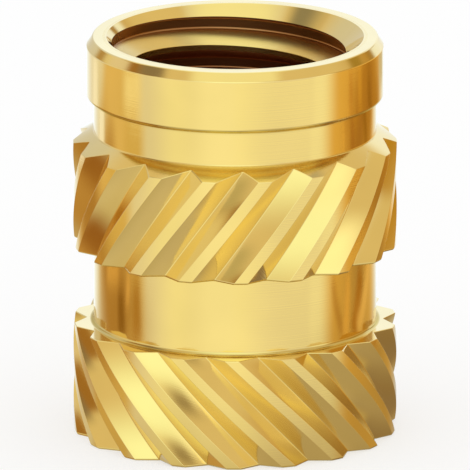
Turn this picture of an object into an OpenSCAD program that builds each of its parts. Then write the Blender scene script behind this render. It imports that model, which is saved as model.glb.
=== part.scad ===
// Threaded insert for plastic: one turned piece of brass with a plain collar,
// two necks and two bands of slanted vee grooves that lean opposite ways, so
// that the melted plastic locks it against turning and against pulling out.
// It stands on its foot, centred on the Z axis, with the collar upwards.
// The front of the grooves' setting is at -Y.

/* [Overall] */
// Length from the foot to the top face
overall_h = 5.0; // [4.6:0.1:8]

/* [Collar and necks] */
// Diameter of the plain collar
collar_d = 3.67; // [3.6:0.01:3.9]
// Height of the collar
collar_h = 0.76; // [0.5:0.01:0.9]
// Width of the bevel around the collar's top edge
collar_bevel_w = 0.075; // [0.03:0.005:0.12]
// Height of that bevel
collar_bevel_h = 0.11; // [0.03:0.005:0.16]
// Fine bevel under the collar
collar_under_bevel = 0.04; // [0.01:0.005:0.06]
// Diameter of both necks
neck_d = 3.5; // [3.35:0.01:3.56]
// Height of the neck below the collar
upper_neck_h = 0.43; // [0.3:0.01:0.6]

/* [Grooved bands] */
// Diameter over the lands of both bands
band_d = 4.0; // [3.9:0.01:4.4]
// Height of the upper band's lands
upper_band_h = 1.3; // [0.8:0.01:1.5]
// Height of the lower band's lands
lower_band_h = 1.39; // [0.8:0.01:1.6]
// Height of the cone that leads from the neck out to the upper band
lead_cone_h = 0.15; // [0.05:0.01:0.3]
// Fine bevel around the bottom edge of each band
band_bevel = 0.03; // [0.01:0.005:0.06]

/* [Grooves] */
// Number of vee grooves in each band
groove_count = 18; // [14:1:22]
// Depth of a groove below the lands
groove_depth = 0.163; // [0.1:0.001:0.18]
// Width of the land left between two grooves, measured around the band
land_w = 0.17; // [0.1:0.01:0.3]
// Lean of the upper band's grooves from upright, tops to the right
upper_lean = 38; // [10:0.5:50]
// Lean of the lower band's grooves from upright, tops to the left
lower_lean = 45.5; // [10:0.5:50]
// Turn of the upper grooves about the axis, at the band's bottom edge
upper_turn = 11.7; // [0:0.1:20]
// Turn of the lower grooves about the axis, at the band's bottom edge
lower_turn = 9.4; // [0:0.1:20]

/* [Bore] */
// Bore before threading, the minor diameter of an M3 thread
bore_d = 2.53; // [2.4:0.01:2.6]
// Diameter of the countersink in the top face
top_sink_d = 3.18; // [2.9:0.01:3.3]
// Diameter of the countersink in the foot
foot_sink_d = 3.18; // [2.7:0.01:3.3]
// Angle across both countersinks
sink_angle = 90; // [60:5:120]

/* [Hidden] */
$fn = 128;

band_r = band_d / 2;
neck_r = neck_d / 2;
collar_r = collar_d / 2;
bore_r = bore_d / 2;
top_sink_r = top_sink_d / 2;
foot_sink_r = foot_sink_d / 2;

// Depth of a countersink that opens from the bore out to radius r
function sink_depth(r) = (r - bore_r) / tan(sink_angle / 2);

// Heights of the steps, counted down from the top face; the lower neck takes
// the length that the other steps leave
collar_z = overall_h - collar_h;
cone_top_z = collar_z - upper_neck_h;
upper_land_z = cone_top_z - lead_cone_h;
upper_band_z = upper_land_z - upper_band_h;

// Half the section, around from the foot's inner edge
section = [
    [foot_sink_r, 0],
    [band_r - band_bevel, 0],
    [band_r, band_bevel],
    [band_r, lower_band_h],
    [neck_r, lower_band_h],
    [neck_r, upper_band_z],
    [band_r - band_bevel, upper_band_z],
    [band_r, upper_band_z + band_bevel],
    [band_r, upper_land_z],
    [neck_r, cone_top_z],
    [neck_r, collar_z],
    [collar_r - collar_under_bevel, collar_z],
    [collar_r, collar_z + collar_under_bevel],
    [collar_r, overall_h - collar_bevel_h],
    [collar_r - collar_bevel_w, overall_h],
    [top_sink_r, overall_h],
    [bore_r, overall_h - sink_depth(top_sink_r)],
    [bore_r, sink_depth(foot_sink_r)],
];

// The grooves leave a star: its inner corners are the groove bottoms, and its
// points are where the flanks of two grooves would meet, beyond the band
half_pitch = 180 / groove_count;
half_mouth = half_pitch - land_w / band_r * 90 / PI;
groove_r = band_r - groove_depth;
mouth_x = band_r * cos(half_mouth) - groove_r;
mouth_y = band_r * sin(half_mouth);
flank_reach = groove_r * tan(half_pitch) / (mouth_y - mouth_x * tan(half_pitch));
star_r = (groove_r + flank_reach * mouth_x) / cos(half_pitch);
star = [
    for (i = [0 : groove_count - 1])
        for (point = [[groove_r, 0], [star_r, half_pitch]])
            let (angle = -90 + 2 * half_pitch * i + point[1])
                point[0] * [cos(angle), sin(angle)]
];

// Height by which a cutter runs past each end of its band, over the neck
run_out = 0.1;
// Turn between two slices of a twisted groove
slice_turn = 2.5;
// Outer radius of a cutter's sleeve, clear of the star's points
sleeve_r = star_r + 0.2;
brass = [0.93, 0.8, 0.45];

// Cutter for one band: a sleeve whose inside is the twisted star. A hand of 1
// leans the grooves' tops to the right, and -1 to the left.
module groove_cutter(band_z, band_h, lean, hand, turn) {
    turn_per_mm = hand * tan(lean) / band_r * 180 / PI;
    bar_h = band_h + 4 * run_out;
    difference() {
        translate([0, 0, band_z - run_out])
            cylinder(r = sleeve_r, h = band_h + 2 * run_out);
        translate([0, 0, band_z - 2 * run_out])
            rotate([0, 0, turn - turn_per_mm * 2 * run_out])
                linear_extrude(
                    height = bar_h,
                    twist = -turn_per_mm * bar_h,
                    slices = ceil(abs(turn_per_mm) * bar_h / slice_turn),
                    segments = 0
                )
                    polygon(star);
    }
}

module insert() {
    color(brass)
        difference() {
            rotate_extrude()
                polygon(section);
            groove_cutter(upper_band_z, upper_band_h + lead_cone_h, upper_lean, 1, upper_turn);
            groove_cutter(0, lower_band_h, lower_lean, -1, lower_turn);
        }
}

insert();
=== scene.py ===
"""Threaded insert of turned brass, dressed for rendering.

The insert is one closed mesh in place of the plain solid. Its grooved bands have edges that
are slightly rounded, and a screw thread runs between its two countersinks. A polished
brass, a pale floor and a soft studio go with it. Lengths are in metres.
"""

import math
from collections import namedtuple

import bpy
import numpy as np
from bpy.props import FloatProperty, FloatVectorProperty, IntProperty, PointerProperty
from bpy.types import Operator, Panel, PropertyGroup
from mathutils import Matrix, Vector


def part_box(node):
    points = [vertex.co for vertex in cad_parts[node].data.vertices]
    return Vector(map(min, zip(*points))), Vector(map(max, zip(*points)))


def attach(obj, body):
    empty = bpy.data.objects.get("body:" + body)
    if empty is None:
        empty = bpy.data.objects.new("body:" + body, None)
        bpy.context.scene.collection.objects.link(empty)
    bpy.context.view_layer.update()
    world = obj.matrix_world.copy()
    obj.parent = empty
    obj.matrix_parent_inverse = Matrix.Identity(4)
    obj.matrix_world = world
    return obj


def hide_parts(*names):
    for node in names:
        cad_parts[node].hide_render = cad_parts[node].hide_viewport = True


bl_info = {
    "name": "Threaded Insert",
    "version": (1, 0, 0),
    "blender": (4, 5, 0),
    "location": "3D View > Sidebar > Insert",
    "description": "Makes a grooved brass insert with its thread, and a studio for it",
    "category": "Add Mesh",
}

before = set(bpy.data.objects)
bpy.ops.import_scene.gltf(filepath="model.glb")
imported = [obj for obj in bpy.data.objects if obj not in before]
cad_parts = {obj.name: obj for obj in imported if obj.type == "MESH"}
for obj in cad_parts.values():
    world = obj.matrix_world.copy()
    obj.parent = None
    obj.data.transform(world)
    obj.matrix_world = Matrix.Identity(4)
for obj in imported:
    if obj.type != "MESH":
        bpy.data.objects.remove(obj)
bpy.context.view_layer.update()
PIECE = "insert_body"
NODE = "insert"
BODY = "root"
FOOT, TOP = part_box(NODE)
MM = 0.001
DEGREE = math.radians(1)
WHITE = (1.0, 1.0, 1.0)
FRONT = -90 * DEGREE
BACK = 90 * DEGREE


def length(name, description, default):
    """A length that the user may change, in metres."""
    return FloatProperty(
        name=name, description=description, default=default, min=0, unit="LENGTH", precision=6
    )


def turn(name, description, degrees):
    """An angle that the user may change."""
    return FloatProperty(
        name=name, description=description, default=math.radians(degrees), subtype="ANGLE"
    )


def amount(name, description, default):
    """A share that the user may change, from nought to one."""
    return FloatProperty(
        name=name, description=description, default=default, min=0, max=1, subtype="FACTOR"
    )


def colour(name, description, default):
    """A linear colour that the user may change."""
    return FloatVectorProperty(
        name=name, description=description, default=default, size=3, subtype="COLOR", min=0, max=1
    )


class BodySizes(PropertyGroup):
    """Outside of the insert."""

    height: length("Height", "From the foot to the top face", TOP[2] - FOOT[2])
    band: length("Band radius", "Over the lands of both bands", (TOP[0] - FOOT[0]) / 2)
    collar: length("Collar radius", "Plain collar", 1.835 * MM)
    neck: length("Neck radius", "Both necks", 1.75 * MM)
    collar_height: length("Collar height", "Height of the collar", 0.76 * MM)
    neck_height: length("Neck height", "Neck below the collar", 0.43 * MM)
    cone_height: length("Cone height", "Cone from the neck to the upper band", 0.15 * MM)
    upper_band: length("Upper band height", "Lands of the upper band", 1.30 * MM)
    lower_band: length("Lower band height", "Lands of the lower band", 1.39 * MM)
    bevel: length("Bevel width", "Bevel around the collar's top edge", 0.075 * MM)
    bevel_height: length("Bevel height", "Height of that bevel", 0.11 * MM)


class EdgeSizes(PropertyGroup):
    """Radii of the small rounds that catch the light."""

    bevel: length("Bevel edges", "Edges of the collar's bevel", 0.03 * MM)
    under: length("Under edge", "Edge below the collar", 0.055 * MM)
    root: length("Neck root", "Fillets where a neck meets a face", 0.025 * MM)
    foot: length("Lower neck foot", "Fillet where the lower neck meets its band", 0.05 * MM)
    # The painted shade under the collar fades out over this reach down the neck.
    shadow: length("Shade reach", "How far the dull corner reaches down the neck", 0.02 * MM)
    band_top: length("Band top edge", "Upper edge of a band", 0.012 * MM)
    band_foot: length("Band foot edge", "Lower edge of a band", 0.03 * MM)
    land: length("Land edge", "Edges between a land and a groove", 0.012 * MM)
    groove: length("Groove bottom", "Bottom of a groove", 0.02 * MM)


class GrooveSizes(PropertyGroup):
    """Slanted vee grooves of both bands."""

    count: IntProperty(name="Grooves", description="Grooves in each band", default=18, min=3)
    depth: length("Depth", "Depth below the lands", 0.163 * MM)
    land: length("Land width", "Land left between two grooves", 0.171 * MM)
    upper_lean: turn("Upper lean", "Lean of the upper grooves, tops to the right", 38.0)
    lower_lean: turn("Lower lean", "Lean of the lower grooves, tops to the left", 45.7)
    upper_turn: turn("Upper turn", "Turn of the upper grooves at their foot", 11.7)
    lower_turn: turn("Lower turn", "Turn of the lower grooves at their foot", 9.6)


class ThreadSizes(PropertyGroup):
    """Right-hand screw thread and its countersinks."""

    crest: length("Crest radius", "Minor radius of the thread", 1.265 * MM)
    root: length("Root radius", "Major radius of the thread", 1.523 * MM)
    pitch: length("Pitch", "Rise in one turn", 0.5 * MM)
    crest_flat: length("Crest flat", "Width of the crest", 0.075 * MM)
    root_flat: length("Root flat", "Width of the root", 0.126 * MM)
    crest_drop: length("Crest drop", "First crest below the top face, at the back", 0.458 * MM)
    crest_round: length("Crest round", "Edges of the crest", 0.01 * MM)
    root_round: length("Root round", "Corners of the root", 0.03 * MM)
    sink: length("Countersink radius", "Both countersinks, at the faces", 1.59 * MM)
    sink_edge: length("Countersink edge", "Edge between a face and a countersink", 0.01 * MM)


class BrassFinish(PropertyGroup):
    """Bright turned brass."""

    clean: colour("Clean brass", "Colour of clean brass", (0.940, 0.760, 0.350))
    worn: colour("Worn brass", "Brass rubbed bright on its edges", (0.98, 0.82, 0.42))
    # Painted shade: a darker brass for the corner under the collar, the lower neck's foot and the
    # bands' lower edges.
    corner_shade: colour("Corner shade colour", "Brass in corners that polish misses", (0.70, 0.59, 0.26))
    roughness: amount("Roughness", "Roughness of clean brass", 0.1)
    # Painted shade: the thread's roots, its downward faces and all of the bore beyond the bright
    # depth.
    thread: colour("Thread", "Brass down in the thread", (0.41, 0.18, 0.09))
    thread_roughness: amount("Thread roughness", "Roughness down in the thread", 0.3)
    flank_roughness: amount("Flank roughness", "Roughness of the thread's clean flanks", 0.25)
    bright_depth: length("Bright depth", "How far in from a face the crests shine", 0.56 * MM)
    line_pitch: length("Line pitch", "Mean distance between two turning lines", 0.016 * MM)
    line_height: length("Line height", "Height of a turning line at full strength", 0.01 * MM)
    line_depth: amount("Line depth", "How strongly the turning lines show", 0.022)
    patch: length("Patch", "Size of the polish's soft patches", 0.9 * MM)
    smudge: amount("Smudge", "How much the patches darken the brass", 0.05)
    rough_spread: amount("Rough spread", "How much the roughness varies in the patches", 0.15)


class StudioSettings(PropertyGroup):
    """Floor, light and camera."""

    elevation: turn("Elevation", "Camera above the horizon", 15.44)
    view_width: length("View width", "Width that the camera takes in", 5.8137 * MM)
    aim: length("Aim", "Height that the camera looks at", 2.451 * MM)
    lens: FloatProperty(name="Lens", description="Long lens", default=1500.0, unit="CAMERA")
    floor: length("Floor", "Width of the floor", 120 * MM)
    floor_colour: colour("Floor colour", "Pale matt floor", (0.98, 0.98, 0.98))
    floor_roughness: amount("Floor roughness", "Roughness of the floor", 0.9)
    floor_white: amount("Floor white", "Share of the floor that is seen as plain white", 0.6)
    wall: colour("Wall", "Plain wall around the cards", (0.82, 0.77, 0.63))


# Sections. A point of a section is a complex number: radius + height * 1j. A section runs with
# the metal on its right, so its outward normal is on its left. Each of its rows is a point, a
# normal, the share of the grooves' side in that normal, and the edge wear, which is above
# nought where the edge is rubbed bright and below it where a corner gets painted shade.

# A corner has the radius and steps of its rounding, and the steps down the wall below it.
Corner = namedtuple("Corner", "point radius steps wall_steps kind")
PLAIN, BAND_TOP, BAND_FOOT, UNDER_COLLAR, NECK_ROOT, NECK_FOOT = range(6)
# How dark the painted shade is at each kind of corner.
BAND_FOOT_SHADE = 0.6
UNDER_COLLAR_SHADE = 0.2
NECK_ROOT_SHADE = 0.3
NECK_FOOT_SHADE = 0.7

# A column is a place around one groove. Its normal is the angle that the surface faces there.
Column = namedtuple("Column", "angle radius normal wear")
HOLLOW_STEPS = 2
FLANK_STEPS = 3
LAND_STEPS = 2
EDGE_WEAR = (0.0, 1.0, 1.0, 0.0)

# The thread starts and ends beyond the faces, and the countersinks then cut it off.
TURNS_BELOW = 2
TURNS_ABOVE = 2
FOOT_CONE = np.array([-1, 0, -1]) / math.sqrt(2)
TOP_CONE = np.array([-1, 0, 1]) / math.sqrt(2)

# Two normals less than the tiny angle apart are one, and so are two points within the weld.
TINY_SINE = 1e-9
TINY_ANGLE = 1e-5
WELD = 1e-9


def spread(first, last, steps):
    """Evenly spaced numbers, with both ends."""
    return [first + (last - first) * i / steps for i in range(steps + 1)]


def unit(angle):
    """Direction at an angle, as a complex number."""
    return complex(math.cos(angle), math.sin(angle))


def angle_of(direction):
    """Angle of a complex number."""
    return math.atan2(direction.imag, direction.real)


def rounded_corner(before, corner, after, radius, steps):
    """Points and outward normals of a rounded corner."""
    way_in = (corner - before) / abs(corner - before)
    way_out = (after - corner) / abs(after - corner)
    bend = angle_of(way_out * way_in.conjugate())
    side = -1 if bend > 0 else 1
    start = corner - way_in * radius * math.tan(abs(bend) / 2)
    centre = start - side * radius * way_in * 1j
    normals = [way_in * 1j * unit(a) for a in spread(0, bend, steps)]
    return [centre + side * radius * n for n in normals], normals


class Steps:
    """Heights of the steps down the outside."""

    def __init__(self, body):
        self.top = body.height
        self.collar = self.top - body.collar_height
        self.cone = self.collar - body.neck_height
        self.land = self.cone - body.cone_height
        self.upper = self.land - body.upper_band
        self.lower = body.lower_band


def outside_corners(insert, reach):
    """Corners down the outside, where the bands reach out to the radius given."""
    body, edges, thread = insert.body, insert.edges, insert.thread
    step = Steps(body)
    cone_drop = (reach - body.neck) * body.cone_height / (body.band - body.neck)
    rows = [
        (thread.sink, step.top, thread.sink_edge, 2, 1, PLAIN),
        (body.collar - body.bevel, step.top, edges.bevel, 2, 1, PLAIN),
        (body.collar, step.top - body.bevel_height, edges.bevel, 2, 2, PLAIN),
        (body.collar, step.collar, edges.under, 6, 1, UNDER_COLLAR),
        (body.neck, step.collar, edges.root, 3, 2, NECK_ROOT),
        (body.neck, step.cone, edges.root, 3, 1, PLAIN),
        (reach, step.cone - cone_drop, edges.band_top, 3, 20, BAND_TOP),
        (reach, step.upper, edges.band_foot, 4, 1, BAND_FOOT),
        (body.neck, step.upper, edges.root, 3, 4, PLAIN),
        (body.neck, step.lower, edges.foot, 4, 1, NECK_FOOT),
        (reach, step.lower, edges.band_top, 3, 26, BAND_TOP),
        (reach, 0, edges.band_foot, 4, 1, BAND_FOOT),
        (thread.sink, 0, thread.sink_edge, 2, 1, PLAIN),
    ]
    return [Corner(complex(radius, height), *rest) for radius, height, *rest in rows]


def corner_wear_and_shade(kind, part, bend):
    """Edge wear a part of the way round a corner, below nought where it is painted shade. Of the
    plain ones, only outer ones wear, and a band's lower edge gets painted shade instead.
    """
    swell = math.sin(math.pi * part)
    if kind == UNDER_COLLAR:
        return -max(swell, UNDER_COLLAR_SHADE * part)
    if kind == NECK_ROOT:
        return -NECK_ROOT_SHADE
    if kind == NECK_FOOT:
        return -NECK_FOOT_SHADE * swell
    rubbed = swell if bend < 0 else 0.0
    return -BAND_FOOT_SHADE * rubbed if kind == BAND_FOOT else rubbed


def corner_rows(corner, points, normals):
    """Rows round a corner. Beside a band's wall they turn towards the grooves' sides."""
    bend = (normals[-1] * normals[0].conjugate()).imag
    rows = []
    for part, point, normal in zip(spread(0, 1, corner.steps), points, normals):
        wear = corner_wear_and_shade(corner.kind, part, bend)
        if corner.kind == BAND_TOP:
            rows.append((point, normals[0], part, wear))
        elif corner.kind == BAND_FOOT:
            rows.append((point, normals[-1], 1 - part, wear))
        else:
            rows.append((point, normal, 0.0, wear))
    return rows


def wall_rows(above, start, end, normal):
    """Rows down the wall below a corner, without its ends."""
    share = 1.0 if above.kind == BAND_TOP else 0.0
    parts = spread(0, 1, above.wall_steps)[1:-1]
    return [(start + (end - start) * part, normal, share, 0.0) for part in parts]


def outside_section(insert, reach):
    """Rows down one column of the outside."""
    crest = insert.thread.crest
    sink_depth = insert.thread.sink - crest
    corners = outside_corners(insert, reach)
    first, last = complex(crest, insert.body.height - sink_depth), complex(crest, sink_depth)
    ends = [first, *(corner.point for corner in corners), last]
    rows = []
    for i, corner in enumerate(corners):
        points, normals = rounded_corner(
            ends[i], corner.point, ends[i + 2], corner.radius, corner.steps
        )
        if rows:
            rows += wall_rows(corners[i - 1], rows[-1][0], points[0], normals[0])
        rows += corner_rows(corner, points, normals)
        if corner.kind == NECK_ROOT:
            # The painted shade ends a little way down.
            rows.append((points[-1] - 1j * insert.edges.shadow, normals[-1], 0.0, 0.0))
    return rows


def groove_columns(insert):
    """Columns across one groove, with half a land on either side."""
    band, grooves = insert.body.band, insert.grooves
    half_pitch = math.pi / grooves.count
    bottom = band - grooves.depth
    mouth = band * unit(half_pitch - grooves.land / band / 2)
    slope = math.atan2(mouth.real - bottom, mouth.imag)
    along = complex(math.sin(slope), math.cos(slope))
    outward = unit(-slope)
    hollow = bottom + insert.edges.groove / math.cos(slope)
    # Half a groove, from its bottom to the middle of the land.
    bends = spread(0, slope, HOLLOW_STEPS)
    half = [(hollow - insert.edges.groove * unit(-a), -a, 0.0) for a in bends]
    # The middle of the land edge's round lies as deep below the flank as below the land.
    edge = insert.edges.land
    base = bottom - edge * outward
    lead = (base.conjugate() * along).real
    middle = base + (math.sqrt(lead**2 - abs(base) ** 2 + (band - edge) ** 2) - lead) * along
    flank_foot, flank_head = half[-1][0], middle + edge * outward
    for part in spread(0, 1, FLANK_STEPS)[1:-1]:
        half.append((flank_foot + (flank_head - flank_foot) * part, -slope, 0.0))
    land_start = angle_of(middle)
    bends = spread(-slope, land_start, len(EDGE_WEAR) - 1)
    half += [(middle + edge * unit(a), a, wear) for a, wear in zip(bends, EDGE_WEAR)]
    half += [(band * unit(a), a, 0.0) for a in spread(land_start, half_pitch, LAND_STEPS)[1:]]
    right = [Column(angle_of(point), abs(point), *rest) for point, *rest in half]
    left = [column._replace(angle=-column.angle, normal=-column.normal) for column in right[:0:-1]]
    return left + right[:-1]


def column_angles(columns, count):
    """Angles of all the grooves' columns about the axis, with the first one at the front."""
    turns = np.repeat(np.arange(count) * 2 * math.pi / count, len(columns))
    return FRONT + np.tile([column.angle for column in columns], count) + turns


class Twist:
    """Turn of the mesh's columns with height, so that they follow the grooves."""

    def __init__(self, insert):
        body, grooves = insert.body, insert.grooves
        step = Steps(body)
        pitch = 2 * math.pi / grooves.count
        self.upper_rate = math.tan(grooves.upper_lean) / body.band
        self.lower_rate = -math.tan(grooves.lower_lean) / body.band
        self.middle = (step.lower + step.upper) / 2
        self.rest = grooves.lower_turn
        lower_head = self.rest + self.lower_rate * step.lower
        # The columns go on to the nearest upper grooves.
        spare = grooves.upper_turn - lower_head
        upper_foot = lower_head + spare - pitch * round(spare / pitch)
        upper_head = upper_foot + self.upper_rate * (step.cone - step.upper)
        # Within the foot's rim nothing turns, so that the outside meets the bore there.
        rim = insert.thread.sink_edge
        self.heights = [rim, step.lower, step.upper, step.cone, step.collar, step.top]
        self.turns = [self.rest, lower_head, upper_foot, upper_head, self.rest, self.rest]

    def at(self, height):
        """Turn at a height."""
        return np.interp(height, self.heights, self.turns)

    def rate(self, height):
        """Turn of the nearer band's grooves for each metre up."""
        return np.where(height > self.middle, self.upper_rate, self.lower_rate)


def mixed_normals(first, second, share):
    """Unit normals a share of the way from the first to the second."""
    dot = np.clip((first * second).sum(-1, keepdims=True), -1, 1)
    angle = np.arccos(dot)
    wide = np.maximum(np.sin(angle), TINY_SINE)
    mixed = (np.sin((1 - share) * angle) * first + np.sin(share * angle) * second) / wide
    return np.where(angle < TINY_ANGLE, first, mixed)


def spun(radius, height, normals, angle):
    """Points and normals turned to their place about the axis."""
    cos, sin = np.cos(angle), np.sin(angle)
    points = np.stack([radius * cos, radius * sin, height], -1)
    out, across, up = np.moveaxis(normals, -1, 0)
    return points, np.stack([out * cos - across * sin, out * sin + across * cos, up], -1)


def closed(columns):
    """The columns with the first one again at the end."""
    return np.concatenate([columns, columns[:, :1]], axis=1)


def side_normals(radius, facing, rate):
    """Normals of the grooves' sides, which lean as the grooves do."""
    parts = (np.cos(facing), np.sin(facing), -rate * radius * np.sin(facing))
    side = np.stack(np.broadcast_arrays(*parts), -1)
    return side / np.linalg.norm(side, axis=-1, keepdims=True)


def outside_rows(insert):
    """Points, normals and edge wear of the outside, one row of columns for each height.
    Where the wear is below nought, it is painted shade in a corner.
    """
    twist = Twist(insert)
    columns = groove_columns(insert)
    count = insert.grooves.count
    sections = [outside_section(insert, column.radius) for column in columns]
    point, normal, share, row_wear_and_shade = (
        np.array([[row[part] for row in rows] for rows in sections]).T for part in range(4)
    )
    # A corner's painted shade, below nought, wins over the wear of the grooves' edges.
    rubbed = np.maximum(row_wear_and_shade, share * [column.wear for column in columns])
    wear = np.where(row_wear_and_shade < 0, row_wear_and_shade, rubbed)
    radius, height = point.real, point.imag
    facing = np.array([column.normal - column.angle for column in columns])
    level = np.stack([normal.real, np.zeros_like(radius), normal.imag], -1)
    side = side_normals(radius, facing, twist.rate(height))
    normals = mixed_normals(level, side, share[..., None])
    points, normals = spun(
        closed(np.tile(radius, count)),
        closed(np.tile(height, count)),
        closed(np.tile(normals, (1, count, 1))),
        closed(column_angles(columns, count) + twist.at(np.tile(height, count))),
    )
    return points, normals, closed(np.tile(wear, count))


def thread_elements(thread):
    """One turn of the thread going up, from a crest: rows of the crest, then of the groove."""
    flank = (thread.pitch - thread.crest_flat - thread.root_flat) / 2
    corners = [
        (complex(thread.crest, -thread.crest_flat), thread.crest_round, 2),
        (complex(thread.crest, 0), thread.crest_round, 2),
        (complex(thread.root, flank), thread.root_round, 3),
        (complex(thread.root, flank + thread.root_flat), thread.root_round, 3),
    ]
    rise = thread.pitch * 1j
    ends = [corners[-1][0] - rise] + [c[0] for c in corners] + [corners[0][0] + rise]
    arcs = [
        list(zip(*rounded_corner(ends[i], point, ends[i + 2], radius, steps)))
        for i, (point, radius, steps) in enumerate(corners)
    ]
    next_crest = (arcs[0][0][0] + rise, arcs[0][0][1])
    return [arcs[0] + arcs[1], [arcs[1][-1]] + arcs[2] + arcs[3] + [next_crest]]


def clipped(rows, lift, sink, top, rims):
    """An element's rows at one column, cut off where a countersink has removed them."""
    radius = np.array([point.real for point, _ in rows])
    height = np.array([point.imag for point, _ in rows]) + lift
    normal = np.array([normal for _, normal in rows])
    spare = radius - np.maximum(sink - (top - height), sink - height)
    index = np.arange(len(rows))
    inside = index[spare >= 0]
    if not len(inside):
        level = float(np.clip(height[np.argmax(spare)], *rims))
        cone = max(sink - (top - level), sink - level)
        return np.full(len(rows), cone), np.full(len(rows), level), normal
    first, last = inside[0], inside[-1]
    if first > 0:
        first = first - spare[first] / (spare[first] - spare[first - 1])
    if last < len(rows) - 1:
        last = last + spare[last] / (spare[last] - spare[last + 1])
    at = np.clip(index, first, last)
    real = np.interp(at, index, normal.real)
    imag = np.interp(at, index, normal.imag)
    turned = (real + 1j * imag) / np.hypot(real, imag)
    return np.interp(at, index, radius), np.interp(at, index, height), turned


def thread_rows(thread, climb, top, rims):
    """Radii, heights and normals of the thread's elements, one after another going up."""
    start = (top - thread.crest_drop) % thread.pitch - TURNS_BELOW * thread.pitch
    for turn_up in range(TURNS_BELOW + math.ceil(top / thread.pitch) + TURNS_ABOVE):
        lifts = start + climb + turn_up * thread.pitch
        for element in thread_elements(thread):
            cut = [clipped(element, lift, thread.sink, top, rims) for lift in lifts]
            radius, height, normal = (np.array(part).T for part in zip(*cut))
            yield radius, height, np.stack([normal.real, np.zeros_like(radius), normal.imag], -1)


def inside_strips(insert, rims):
    """Strips of the bore going up, from the foot's rim to the top face's."""
    thread, top = insert.thread, insert.body.height
    angle = column_angles(groove_columns(insert), insert.grooves.count) + insert.grooves.lower_turn
    angle = np.append(angle, angle[0] + 2 * math.pi)
    climb = (angle - BACK) * thread.pitch / (2 * math.pi)
    place = np.append(angle[:-1], angle[0])
    wide = len(place)

    def row(radius, height, normals):
        return (*spun(radius, height, normals, place), np.zeros(wide))

    # A cone strip joins two elements, and has no width where nothing is cut off.
    def cone_strip(below, above):
        middle = (below[1] + above[1]).mean() / 2
        cone = FOOT_CONE if middle < top / 2 else TOP_CONE
        normals = np.broadcast_to(cone, (wide, 3))
        return row(*below, normals), row(*above, normals)

    strips = []
    last = (np.full(wide, thread.sink - rims[0]), np.full(wide, rims[0]))
    for element in thread_rows(thread, climb, top, rims):
        radius, height, _ = element
        strips.append(cone_strip(last, (radius[0], height[0])))
        rows = [row(*level) for level in zip(*element)]
        strips += zip(rows, rows[1:])
        last = (radius[-1], height[-1])
    rim = (np.full(wide, thread.sink - (top - rims[1])), np.full(wide, rims[1]))
    strips.append(cone_strip(last, rim))
    return strips


def joined_mesh(name, strips):
    """One welded mesh from strips between two rows of points, their normals and their wear,
    which below nought is painted corner shade.
    """
    points, normals, wear = (
        np.concatenate([row[part] for strip in strips for row in strip]) for part in range(3)
    )
    wide = len(strips[0][0][0])
    grain = np.round(points / WELD).astype(np.int64)
    _, kept, place = np.unique(grain, axis=0, return_index=True, return_inverse=True)
    place = place.ravel()
    faces, corners = [], []
    for i in range(len(strips)):
        for k in range(wide - 1):
            a = 2 * i * wide + k
            b = a + wide
            ring = [a, b, b + 1, a + 1]
            seen = [r for j, r in enumerate(ring) if place[r] != place[ring[j - 1]]]
            if len(seen) > 2 and len({place[r] for r in seen}) == len(seen):
                faces.append([int(place[r]) for r in seen])
                corners += seen
    mesh = bpy.data.meshes.new(name)
    mesh.from_pydata(points[kept].tolist(), [], faces)
    mesh.polygons.foreach_set("use_smooth", np.ones(len(faces), dtype=bool))
    mesh.update()
    mesh.normals_split_custom_set(normals[corners].tolist())
    # The edge attribute holds the edge wear above nought and the painted corner shade below it.
    mesh.attributes.new("edge", "FLOAT", "POINT").data.foreach_set("value", wear[kept])
    return mesh


def insert_mesh(insert):
    """The whole insert: outside down from the top rim, then the bore up from the foot's."""
    rows = list(zip(*outside_rows(insert)))
    rims = (float(rows[-1][0][0, 2]), float(rows[0][0][0, 2]))
    return joined_mesh(PIECE, [*zip(rows, rows[1:]), *inside_strips(insert, rims)])


# Finishes

FLOAT = "NodeSocketFloat"
VECTOR = "NodeSocketVector"
COLOUR = "NodeSocketColor"
NODE_GAP = 180
LINE_DETAIL = 3.0
PATCH_DETAIL = 2.0
PATCH_RANGE = (0.3, 0.7)

# Where the thread's painted shade and rougher finish begin and end.
DEEP_FADE = 1.25
SINK_FADE = (0.004 * MM, 0.016 * MM)
RIM_FADE = (0.03 * MM, 0.05 * MM)
ROOT_SPARE = 0.012 * MM
ROOT_FADE = 0.085 * MM
UNDERSIDE_FADE = (0.0, -0.4)


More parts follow.
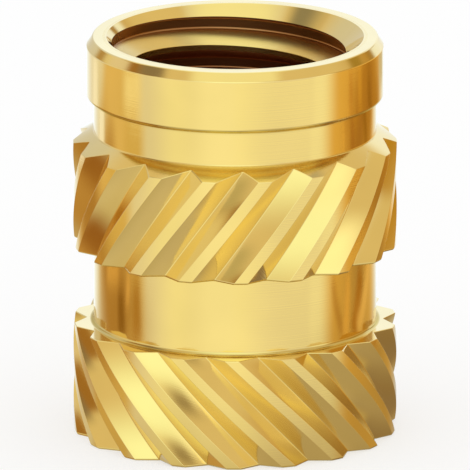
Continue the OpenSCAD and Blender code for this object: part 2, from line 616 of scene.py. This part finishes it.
class Board:
    """Short ways to place and link shader nodes in one tree."""

    def __init__(self, tree):
        self.tree = tree
        self.column = 0

    def node(self, kind, label="", **options):
        """A new node, to the right of the last one."""
        made = self.tree.nodes.new(kind)
        made.label = label
        made.location = (self.column, 0)
        self.column += NODE_GAP
        for name, value in options.items():
            setattr(made, name, value)
        return made

    def put(self, source, socket):
        """Sets a socket to a value, or links it to another socket."""
        if isinstance(source, bpy.types.NodeSocket):
            self.tree.links.new(source, socket)
        else:
            socket.default_value = source

    def fill(self, made, *sources):
        """Outputs of a node, once its first sockets are filled."""
        for source, socket in zip(sources, made.inputs):
            self.put(source, socket)
        return made.outputs

    def math(self, operation, *sources, label=""):
        """A number worked out from one to three others."""
        made = self.node("ShaderNodeMath", label, operation=operation)
        return self.fill(made, *sources)[0]

    def ramp(self, value, low, high, to_low=0.0, to_high=1.0, label="", kind="SMOOTHSTEP"):
        """The value mapped from one range to another, held at both ends."""
        made = self.node("ShaderNodeMapRange", label, interpolation_type=kind)
        return self.fill(made, value, low, high, to_low, to_high)["Result"]

    def soft_edge(self, offset, half, softness, label):
        """One within the half width and nought beyond it, with a soft step at the edge."""
        reach = self.math("MULTIPLY", softness, 0.5)
        outer = self.math("ADD", half, reach)
        inner = self.math("SUBTRACT", half, reach)
        return self.ramp(self.math("ABSOLUTE", offset), inner, outer, 1.0, 0.0, label)

    def parts(self, vector):
        """The X, Y and Z of a vector."""
        return self.fill(self.node("ShaderNodeSeparateXYZ"), vector)

    def radius(self, place):
        """Distance from the axis."""
        x_squared = self.math("POWER", place["X"], 2.0)
        y_squared = self.math("POWER", place["Y"], 2.0)
        return self.math("SQRT", self.math("ADD", x_squared, y_squared), label="Radius")

    def blend(self, share, first, second, mode="MIX", label=""):
        """Two colours mixed."""
        made = self.node("ShaderNodeMix", label, data_type="RGBA", blend_type=mode)
        self.put(share, made.inputs["Factor"])
        colours = [socket for socket in made.inputs if socket.type == "RGBA"]
        for source, socket in zip((first, second), colours):
            self.put(source, socket)
        return [socket for socket in made.outputs if socket.type == "RGBA"][0]

    def mixed(self, share, first, second):
        """Two shaders mixed."""
        return self.fill(self.node("ShaderNodeMixShader"), share, first, second)[0]

    def group(self, tree, label, *first, **named):
        """Outputs of a group, its first sockets filled in order and the others by name."""
        made = self.node("ShaderNodeGroup", label, node_tree=tree)
        for name, value in named.items():
            self.put(value, made.inputs[name])
        return self.fill(made, *first)

    def finish(self, shader, kind="ShaderNodeOutputMaterial"):
        """Makes a shader the tree's result."""
        self.put(shader, self.node(kind).inputs["Surface"])


def opaque(rgb):
    """A colour with its alpha."""
    return (*rgb, 1.0)


def empty_tree(owner):
    """A board for a material or a world, with no nodes yet."""
    owner.use_nodes = True
    owner.node_tree.nodes.clear()
    return Board(owner.node_tree)


def new_group(name, inputs, outputs):
    """A shader node group: its board, and what its two end nodes give and take."""
    tree = bpy.data.node_groups.new(name, "ShaderNodeTree")
    for side, sockets in (("INPUT", inputs), ("OUTPUT", outputs)):
        for label, kind in sockets.items():
            tree.interface.new_socket(label, in_out=side, socket_type=kind)
    board = Board(tree)
    return board, board.node("NodeGroupInput").outputs, board.node("NodeGroupOutput").inputs


def turning_lines_group():
    """Fine rings that a lathe leaves around the axis, on walls and on flat faces alike."""
    board, given, out = new_group(
        "Turning lines", {"Position": VECTOR, "Pitch": FLOAT}, {"Height": FLOAT}
    )
    place = board.parts(given["Position"])
    along = board.math("SUBTRACT", place["Z"], board.radius(place), label="Along the section")
    noise = board.node("ShaderNodeTexNoise", "Uneven lines", noise_dimensions="1D")
    board.put(board.math("DIVIDE", along, given["Pitch"]), noise.inputs["W"])
    noise.inputs["Scale"].default_value = 1.0
    noise.inputs["Detail"].default_value = LINE_DETAIL
    board.put(noise.outputs["Fac"], out["Height"])
    return board.tree


def patches_group():
    """Soft patches, such as the polish leaves."""
    board, given, out = new_group(
        "Soft patches", {"Position": VECTOR, "Size": FLOAT}, {"Amount": FLOAT}
    )
    noise = board.node("ShaderNodeTexNoise", "Patches")
    board.put(given["Position"], noise.inputs["Vector"])
    board.put(board.math("DIVIDE", 1.0, given["Size"]), noise.inputs["Scale"])
    noise.inputs["Detail"].default_value = PATCH_DETAIL
    board.put(board.ramp(noise.outputs["Fac"], *PATCH_RANGE), out["Amount"])
    return board.tree


def thread_shade_group():
    """Where the bore gets painted shade and more roughness: its grooves, and all of it away from
    both faces.
    """
    sizes = ("Height", "Countersink", "Groove", "Neck", "Reach")
    board, given, out = new_group(
        "Thread shade",
        {"Position": VECTOR, "Facing": VECTOR, **dict.fromkeys(sizes, FLOAT)},
        {"Shade and roughness": FLOAT, "Threaded": FLOAT},
    )
    place = board.parts(given["Position"])
    radius = board.radius(place)
    rest = board.math("SUBTRACT", given["Height"], place["Z"])
    depth = board.math("MINIMUM", rest, place["Z"], label="Depth from a face")
    all_shaded = board.math("MULTIPLY", given["Reach"], DEEP_FADE)
    deep = board.ramp(depth, given["Reach"], all_shaded, label="Deep")
    cone = board.math("SUBTRACT", given["Countersink"], depth, label="Countersink here")
    behind = board.math("SUBTRACT", radius, cone)
    below = board.ramp(behind, *SINK_FADE, label="Below the countersink")
    root = board.math("ADD", given["Groove"], ROOT_SPARE)
    rooted = board.ramp(radius, board.math("SUBTRACT", root, ROOT_FADE), root, label="Root")
    upward = board.parts(given["Facing"])["Z"]
    under = board.ramp(upward, *UNDERSIDE_FADE, label="Underside")
    sheltered = board.math("MAXIMUM", rooted, under)
    groove = board.math("MULTIPLY", below, sheltered, label="Groove")
    clear = board.ramp(depth, *RIM_FADE, label="Clear of the rim")
    shade_and_rough = board.math("MAXIMUM", deep, board.math("MULTIPLY", groove, clear))
    inside = board.math("LESS_THAN", radius, given["Neck"], label="Inside")
    board.put(board.math("MULTIPLY", shade_and_rough, inside), out["Shade and roughness"])
    board.put(board.math("MULTIPLY", below, inside), out["Threaded"])
    return board.tree


def thread_shade(board, insert, place):
    """Where the thread gets painted shade and more roughness, by the insert's own sizes."""
    thread = insert.thread
    return board.group(
        thread_shade_group(),
        "Thread",
        place.outputs["Object"],
        place.outputs["Normal"],
        Height=insert.body.height,
        Countersink=thread.sink,
        Groove=thread.root,
        Neck=(thread.root + insert.body.neck) / 2,
        Reach=insert.finish.bright_depth,
    )


def brass_colour(board, finish, edge, corner, shade_and_rough, patches):
    """Clean brass with rubbed edges, painted shade in the corners and down the thread, and soft
    patches.
    """
    metal = board.blend(edge, opaque(finish.clean), opaque(finish.worn), label="Rubbed edges")
    # Painted shade darkens the corners under the collar, at the lower neck's foot and under the
    # bands.
    metal = board.blend(corner, metal, opaque(finish.corner_shade), label="Painted corner shade")
    # Painted shade darkens the thread's roots, its downward faces and its deep part.
    metal = board.blend(shade_and_rough, metal, opaque(finish.thread), label="Painted thread shade")
    shade = board.ramp(patches, 0, 1, 1 - finish.smudge, 1.0, "Tone", "LINEAR")
    tone = board.fill(board.node("ShaderNodeCombineColor"), shade, shade, shade)[0]
    return board.blend(1.0, metal, tone, "MULTIPLY", "Brass")


def brass_roughness(board, finish, shaded, patches):
    """Roughness of the polish, of the thread's flanks and of the dull thread."""
    smooth = finish.roughness * (1 - finish.rough_spread)
    coarse = finish.roughness * (1 + finish.rough_spread)
    rough = board.ramp(patches, 0, 1, smooth, coarse, "Roughness", "LINEAR")
    extra = board.math("MULTIPLY", shaded["Shade and roughness"], finish.thread_roughness - finish.roughness)
    rough = board.math("ADD", rough, extra)
    flanks = board.math("MULTIPLY", shaded["Threaded"], finish.flank_roughness, label="Flanks")
    return board.math("MAXIMUM", rough, flanks)


def brass_bump(board, finish, lines):
    """Normal of the turning lines."""
    bump = board.node("ShaderNodeBump", "Line depth")
    bump.inputs["Strength"].default_value = finish.line_depth
    bump.inputs["Distance"].default_value = finish.line_height
    board.put(lines, bump.inputs["Height"])
    return bump.outputs[0]


def brass_material(insert):
    """Polished brass with faint turning lines, soft patches and bright edges.
    The corners and the thread get painted shade, and the thread is rougher too.
    """
    finish = insert.finish
    material = bpy.data.materials.new("polished_brass")
    board = empty_tree(material)
    place = board.node("ShaderNodeTexCoord")
    position = place.outputs["Object"]
    lines = board.group(turning_lines_group(), "Turning lines", position, finish.line_pitch)
    patches = board.group(patches_group(), "Polish", position, finish.patch)["Amount"]
    shaded = thread_shade(board, insert, place)
    edge = board.node("ShaderNodeAttribute", "Edges", attribute_name="edge").outputs["Fac"]
    # Below nought the edge attribute is painted corner shade, which also tints the mirrored light
    # there.
    corner = board.math("MULTIPLY", edge, -1.0, label="Corner shade mask")
    corner_shade_tint = board.blend(corner, opaque(WHITE), opaque(finish.corner_shade), label="Corner shade tint")
    colour_out = brass_colour(board, finish, edge, corner, shaded["Shade and roughness"], patches)
    rough = brass_roughness(board, finish, shaded, patches)
    normal = brass_bump(board, finish, lines["Height"])
    shader = board.node("ShaderNodeBsdfPrincipled", "Brass")
    shader.inputs["Metallic"].default_value = 1.0
    board.put(colour_out, shader.inputs["Base Color"])
    board.put(corner_shade_tint, shader.inputs["Specular Tint"])
    board.put(rough, shader.inputs["Roughness"])
    board.put(normal, shader.inputs["Normal"])
    board.finish(shader.outputs[0])
    return material


def floor_material(name, studio, glow):
    """Pale matt floor. The camera sees a share of it as plain white, so its shade is faint."""
    material = bpy.data.materials.new(name)
    board = empty_tree(material)
    matt = board.node("ShaderNodeBsdfPrincipled", "Pale matt")
    matt.inputs["Base Color"].default_value = opaque(studio.floor_colour)
    matt.inputs["Roughness"].default_value = studio.floor_roughness
    matt.inputs["Specular IOR Level"].default_value = 0.0
    white = board.node("ShaderNodeEmission", "Plain white")
    path = board.node("ShaderNodeLightPath")
    share = board.math("MULTIPLY", path.outputs["Is Camera Ray"], glow, label="Share of white")
    board.finish(board.mixed(share, matt.outputs[0], white.outputs[0]))
    return material


# Studio

SHEET_GAP = 0.0001 * MM
SHADED_GAP = 0.001 * MM
SHADED_SHARE = 0.9
FLOOR_GAP = 0.002 * MM
DISC_SIDES = 64
SQUARE = ((-1, -1), (1, -1), (1, 1), (-1, 1))
SENSOR_WIDTH = 36
# The camera sees from a tenth of its distance to three times it.
CLIP_NEAR = 0.1
CLIP_FAR = 3

CARD_ANGLES = (
    "Azimuth",
    "Elevation",
    "Card azimuth",
    "Card elevation",
    "Half width",
    "Half height",
    "Side softness",
    "Edge softness",
)


def soft_card_group():
    """A soft-edged card at a place around the insert, laid over what is behind it."""
    board, given, out = new_group(
        "Soft card",
        {"Behind": COLOUR, "Card": COLOUR, **dict.fromkeys(CARD_ANGLES, FLOAT)},
        {"Colour": COLOUR},
    )
    across = board.math("SUBTRACT", given["Azimuth"], given["Card azimuth"])
    across = board.math("WRAP", across, math.pi, -math.pi, label="Shorter way round")
    along = board.math("SUBTRACT", given["Elevation"], given["Card elevation"])
    sides = board.soft_edge(across, given["Half width"], given["Side softness"], "Sides")
    ends = board.soft_edge(along, given["Half height"], given["Edge softness"], "Top and bottom")
    covered = board.math("MULTIPLY", sides, ends)
    board.put(board.blend(covered, given["Behind"], given["Card"]), out["Colour"])
    return board.tree


# Each card's name, azimuth from the front, elevation, half width, half height, softness of its
# sides and of its ends, all in degrees, and its colour. Later cards cover earlier ones.
ALL_ROUND = 181
CARDS = (
    ("table", 0, -91, ALL_ROUND, 30, 5, 9, (0.64, 0.58, 0.40)),
    ("low wall", 0, -43, ALL_ROUND, 17, 5, 20, (0.69, 0.60, 0.37)),
    ("upper wall", -1, 40, ALL_ROUND, 22, 14, 5, (0.76, 0.62, 0.35)),
    ("front strip", -12, -28, 28, 21, 40, 18, (1.03, 1.00, 0.71)),
    ("right strip", 75, -3, 12, 13, 8, 4, (1.03, 1.00, 0.69)),
    ("left strip", -47, -13, 15, 18, 29, 7, (0.98, 0.94, 0.63)),
    ("right of front", 32, -13, 32, 2, 12, 4, (1.05, 1.01, 0.64)),
    ("back wall", -177, 9, 20, 66, 38, 18, (1.04, 1.15, 1.34)),
    ("back left", -143, 15, 29, 22, 18, 18, (0.70, 0.69, 0.66)),
    ("right side", 113, -24, 32, 25, 19, 4, (0.78, 0.47, 0.11)),
    ("right side dark", 131, -12, 19, 9, 37, 12, (0.98, 0.59, 0.13)),
    ("left side", -103, -41, 25, 14, 10, 12, (0.76, 0.47, 0.17)),
    ("left side pale", -101, -13, 20, 6, 12, 8, (0.72, 0.50, 0.16)),
    ("low right", 107, -42, 41, 14, 18, 28, (0.20, 0.18, 0.20)),
    ("low left", -86, -47, 14, 10, 21, 13, (0.28, 0.09, 0.01)),
    ("high right", 110, 13, 29, 12, 10, 25, (0.52, 0.28, 0.03)),
    ("high left", -94, 25, 23, 15, 6, 9, (0.37, 0.18, 0.04)),
    ("left ledge", -102, 16, 29, 7, 23, 5, (0.81, 0.69, 0.38)),
    ("dark flag", 18, 49, 9, 11, 17, 9, (0.75, 0.45, 0.11)),
    ("soft box", -4, 30, 27, 26, 40, 27, (1.10, 1.22, 0.92)),
    ("ceiling", 0, 89, ALL_ROUND, 23, 5, 10, (0.99, 0.99, 0.69)),
    ("top left flag", -96, 50, 15, 9, 23, 7, (0.30, 0.27, 0.20)),
    ("low right pale", 71, -46, 17, 10, 8, 8, (1.05, 0.85, 0.36)),
    ("back right", 152, 12, 15, 14, 8, 9, (0.98, 1.04, 1.11)),
    ("front fill", 21, 26, 12, 7, 21, 14, (1.25, 1.23, 0.89)),
    ("right ledge", 109, -35, 11, 7, 16, 3, (1.29, 1.17, 0.76)),
    ("left flag", -65, 21, 9, 4, 10, 8, (0.54, 0.46, 0.25)),
    ("right flag", 33, 40, 9, 4, 18, 5, (0.37, 0.29, 0.16)),
    ("back right flag", 142, 15, 11, 3, 6, 4, (0.43, 0.26, 0.07)),
    ("back left flag", -133, 15, 11, 3, 6, 4, (0.46, 0.29, 0.10)),
    ("upper left flag", -80, 39, 12, 6, 12, 4, (0.27, 0.21, 0.14)),
    ("upper left pale", -114, 27, 13, 5, 10, 4, (0.80, 0.71, 0.57)),
    ("upper front strip", 0, 52, 44, 4, 16, 4, (0.98, 0.95, 0.64)),
    ("upper right flag", 117, 25, 7, 4, 8, 4, (0.40, 0.26, 0.05)),
    ("high back flag", 142, 61, 12, 4, 12, 5, (0.50, 0.46, 0.36)),
)


def studio_world(studio):
    """Plain white light, and soft cards around the insert that only the metal mirrors."""
    world = bpy.data.worlds.new("studio")
    bpy.context.scene.world = world
    # The cards show only in mirrored rays, so the light is found by the rays alone.
    world.cycles.sampling_method = "NONE"
    board = empty_tree(world)
    direction = board.parts(board.node("ShaderNodeTexCoord").outputs["Generated"])
    forward = board.math("MULTIPLY", direction["Y"], -1.0)
    azimuth = board.math("ARCTAN2", direction["X"], forward, label="Azimuth")
    elevation = board.math("ARCSINE", direction["Z"], label="Elevation")
    tree = soft_card_group()
    mirrored = opaque(studio.wall)
    for name, *degrees, paint in CARDS:
        angles = [angle * DEGREE for angle in degrees]
        card = board.group(tree, name, mirrored, opaque(paint), azimuth, elevation, *angles)
        mirrored = card["Colour"]
    path = board.node("ShaderNodeLightPath")
    seen = board.blend(path.outputs["Is Glossy Ray"], opaque(WHITE), mirrored)
    background = board.fill(board.node("ShaderNodeBackground"), seen)[0]
    board.finish(background, "ShaderNodeOutputWorld")


def soft_sheet_group():
    """How much of a soft-edged sheet is there, at a place on it."""
    sizes = ("Half length", "Half width", "End softness", "Side softness")
    board, given, out = new_group(
        "Soft sheet", {"Position": VECTOR, **dict.fromkeys(sizes, FLOAT)}, {"Amount": FLOAT}
    )
    place = board.parts(given["Position"])
    ends = board.soft_edge(place["X"], given["Half length"], given["End softness"], "Ends")
    sides = board.soft_edge(place["Y"], given["Half width"], given["Side softness"], "Sides")
    board.put(board.math("MULTIPLY", ends, sides), out["Amount"])
    return board.tree


# A sheet glows and shows only in the metal, as a painted reflection of the table around the
# insert. Its lengths are in millimetres and its turn in degrees.
Sheet = namedtuple("Sheet", "name x y half_length half_width turn end side colour")
SHEETS = (
    ("back_left_sheet", -14.6, 5.7, 7.9, 3.4, 194, 2.7, 3.3, (0.80, 0.57, 0.23)),
    ("left_sheet", -9.0, 3.9, 5.9, 3.1, 126, 5.1, 3.7, (0.45, 0.24, 0.06)),
    ("back_right_sheet", 14.0, 8.5, 5.2, 6.0, -7, 3.7, 6.4, (0.47, 0.22, 0.03)),
    ("right_sheet", 5.2, 1.6, 1.8, 7.3, -60, 9.2, 10.9, (0.31, 0.20, 0.07)),
    ("narrow_right_sheet", 13.5, 4.9, 6.3, 0.9, 81, 1.1, 0.8, (0.40, 0.18, 0.03)),
    ("near_right_dark", 7.8, -0.95, 1.5, 0.3, 150, 0.8, 0.7, (0.47, 0.24, 0.05)),
    ("near_right_warm", 7.75, 0.6, 1.5, 0.4, 25, 0.8, 0.6, (0.74, 0.42, 0.10)),
    ("second_near_right_dark", 7.15, 2.45, 1.7, 0.6, 54, 0.8, 0.8, (0.42, 0.18, 0.02)),
    ("second_near_right_warm", 6.5, 3.9, 2.2, 0.45, 80, 0.8, 0.7, (0.80, 0.50, 0.16)),
    ("near_left_dark", -7.8, -1.5, 1.5, 0.5, 0, 0.8, 0.7, (0.44, 0.22, 0.04)),
    ("near_left_warm", -8.7, -0.1, 0.7, 0.3, 0, 0.7, 0.5, (0.76, 0.44, 0.14)),
    ("second_near_left_dark", -7.3, 0.75, 1.2, 0.5, 156, 0.8, 0.7, (0.28, 0.13, 0.02)),
    ("second_near_left_warm", -8.5, 3.1, 1.4, 0.6, 60, 1.0, 0.8, (0.74, 0.43, 0.12)),
    ("far_left_pale", -18.8, -2.2, 1.4, 2.9, 0, 1.2, 3.6, (1.04, 0.92, 0.56)),
    ("far_back_left_pale", -12.0, 11.6, 2.8, 1.5, 135, 1.6, 1.8, (1.02, 1.00, 0.95)),
    ("far_back_right_dull", 9.0, 16.2, 1.9, 1.3, 155, 1.6, 1.0, (0.65, 0.54, 0.33)),
    ("far_right_dark", 18.2, 2.5, 1.2, 0.6, 7, 0.8, 1.4, (0.55, 0.25, 0.04)),
    ("far_right_warm", 17.3, 6.0, 1.2, 0.8, 20, 0.8, 1.2, (0.66, 0.34, 0.05)),
    ("second_far_right_dark", 13.6, 9.6, 2.2, 0.55, 0, 1.0, 1.3, (0.30, 0.13, 0.01)),
    ("middle_right_dark", 15.2, 4.5, 1.0, 0.7, 20, 0.6, 0.9, (0.42, 0.18, 0.03)),
    ("middle_right_warm", 15.9, 1.3, 0.8, 0.4, 10, 0.6, 0.8, (0.80, 0.46, 0.10)),
)


def add_object(name, data):
    """A new object in the scene."""
    made = bpy.data.objects.new(name, data)
    bpy.context.scene.collection.objects.link(made)
    return made


def flat_face(name, outline, material):
    """A flat face of the stage, with the outline given."""
    mesh = bpy.data.meshes.new(name)
    mesh.from_pydata(outline, [], [list(range(len(outline)))])
    mesh.materials.append(material)
    made = add_object(name, mesh)
    return made


def sheet_material(sheet, group):
    """A plain colour that fades out at the sheet's edges."""
    material = bpy.data.materials.new(sheet.name)
    material.cycles.emission_sampling = "NONE"
    board = empty_tree(material)
    position = board.node("ShaderNodeTexCoord").outputs["Object"]
    sizes = [size * MM for size in (sheet.half_length, sheet.half_width, sheet.end, sheet.side)]
    there = board.group(group, "Soft edges", position, *sizes)["Amount"]
    clear = board.node("ShaderNodeBsdfTransparent").outputs[0]
    paper = board.fill(board.node("ShaderNodeEmission", "Sheet"), opaque(sheet.colour))[0]
    board.finish(board.mixed(there, clear, paper))
    return material


def lay_sheet(sheet, group, lift):
    """A sheet on the table, which only the metal mirrors."""
    half_length = (sheet.half_length + sheet.end / 2) * MM
    half_width = (sheet.half_width + sheet.side / 2) * MM
    outline = [(x * half_length, y * half_width, 0) for x, y in SQUARE]
    laid = flat_face(sheet.name, outline, sheet_material(sheet, group))
    laid.location = (sheet.x * MM, sheet.y * MM, lift)
    laid.rotation_euler.z = sheet.turn * DEGREE
    for ray in ("camera", "diffuse", "transmission", "shadow"):
        setattr(laid, "visible_" + ray, False)


def flat_disc(name, radius, height, material):
    """A round part of the floor, at a height."""
    angles = spread(0, 2 * math.pi, DISC_SIDES)[:-1]
    ring = [(radius * math.cos(a), radius * math.sin(a), height) for a in angles]
    return flat_face(name, ring, material)


def place_camera(studio):
    """A long lens at the height of a table's edge."""
    data = bpy.data.cameras.new("camera")
    data.sensor_width = SENSOR_WIDTH
    data.lens = studio.lens
    distance = studio.view_width * studio.lens / SENSOR_WIDTH
    data.clip_start = distance * CLIP_NEAR
    data.clip_end = distance * CLIP_FAR
    camera = add_object("camera", data)
    back = Vector((0, -math.cos(studio.elevation), math.sin(studio.elevation)))
    camera.location = Vector((0, 0, studio.aim)) + back * distance
    camera.rotation_mode = "QUATERNION"
    camera.rotation_quaternion = (-back).to_track_quat("-Z", "Y")
    bpy.context.scene.camera = camera


# Operators and panel

def settings():
    """The insert's settings in this scene."""
    return bpy.context.scene.threaded_insert


class INSERT_OT_make_insert(Operator):
    """Makes the insert in brass, in place of the plain solid"""

    bl_idname = "insert.make_insert"
    bl_label = "Make insert"

    def execute(self, context):
        insert = settings()
        piece = add_object(PIECE, insert_mesh(insert))
        piece.data.materials.append(brass_material(insert))
        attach(piece, BODY)
        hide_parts(NODE)
        return {"FINISHED"}


class INSERT_OT_make_stage(Operator):
    """Makes the floor, the light and the camera"""

    bl_idname = "insert.make_stage"
    bl_label = "Make stage"

    def execute(self, context):
        insert = settings()
        studio = insert.studio
        context.scene.view_settings.view_transform = "Standard"
        pale = floor_material("pale_floor", studio, studio.floor_white)
        floor = flat_disc("floor", studio.floor / 2, FOOT[2] - FLOOR_GAP, pale)
        floor.visible_glossy = False
        # Under the foot the floor has no white share, so that it is as dark as it really is.
        shaded = floor_material("shaded_floor", studio, 0.0)
        flat_disc("floor_below", insert.body.band * SHADED_SHARE, FOOT[2] - SHADED_GAP, shaded)
        group = soft_sheet_group()
        for i, row in enumerate(SHEETS):
            lay_sheet(Sheet(*row), group, FOOT[2] + (i - len(SHEETS)) * SHEET_GAP)
        studio_world(studio)
        place_camera(studio)
        return {"FINISHED"}


class INSERT_PT_panel(Panel):
    """Buttons and sizes of the insert, in the sidebar of the 3D view"""

    bl_idname = "INSERT_PT_panel"
    bl_label = "Threaded insert"
    bl_space_type = "VIEW_3D"
    bl_region_type = "UI"
    bl_category = "Insert"

    def draw(self, context):
        for part in InsertSettings.__annotations__:
            group = getattr(settings(), part)
            box = self.layout.box()
            for name in group.__annotations__:
                box.prop(group, name)
        self.layout.operator(INSERT_OT_make_insert.bl_idname)
        self.layout.operator(INSERT_OT_make_stage.bl_idname)


class InsertSettings(PropertyGroup):
    """Everything that the user may change."""

    body: PointerProperty(type=BodySizes)
    edges: PointerProperty(type=EdgeSizes)
    grooves: PointerProperty(type=GrooveSizes)
    thread: PointerProperty(type=ThreadSizes)
    finish: PointerProperty(type=BrassFinish)
    studio: PointerProperty(type=StudioSettings)


CLASSES = (
    BodySizes,
    EdgeSizes,
    GrooveSizes,
    ThreadSizes,
    BrassFinish,
    StudioSettings,
    InsertSettings,
    INSERT_OT_make_insert,
    INSERT_OT_make_stage,
    INSERT_PT_panel,
)


def register():
    """Adds the settings, the operators and the panel."""
    for made in CLASSES:
        bpy.utils.register_class(made)
    bpy.types.Scene.threaded_insert = PointerProperty(type=InsertSettings)


def unregister():
    """Takes them away again."""
    del bpy.types.Scene.threaded_insert
    for made in reversed(CLASSES):
        bpy.utils.unregister_class(made)


def main():
    """Makes the stage and the insert."""
    register()
    bpy.ops.insert.make_stage()
    bpy.ops.insert.make_insert()


if __name__ == "__main__":
    main()
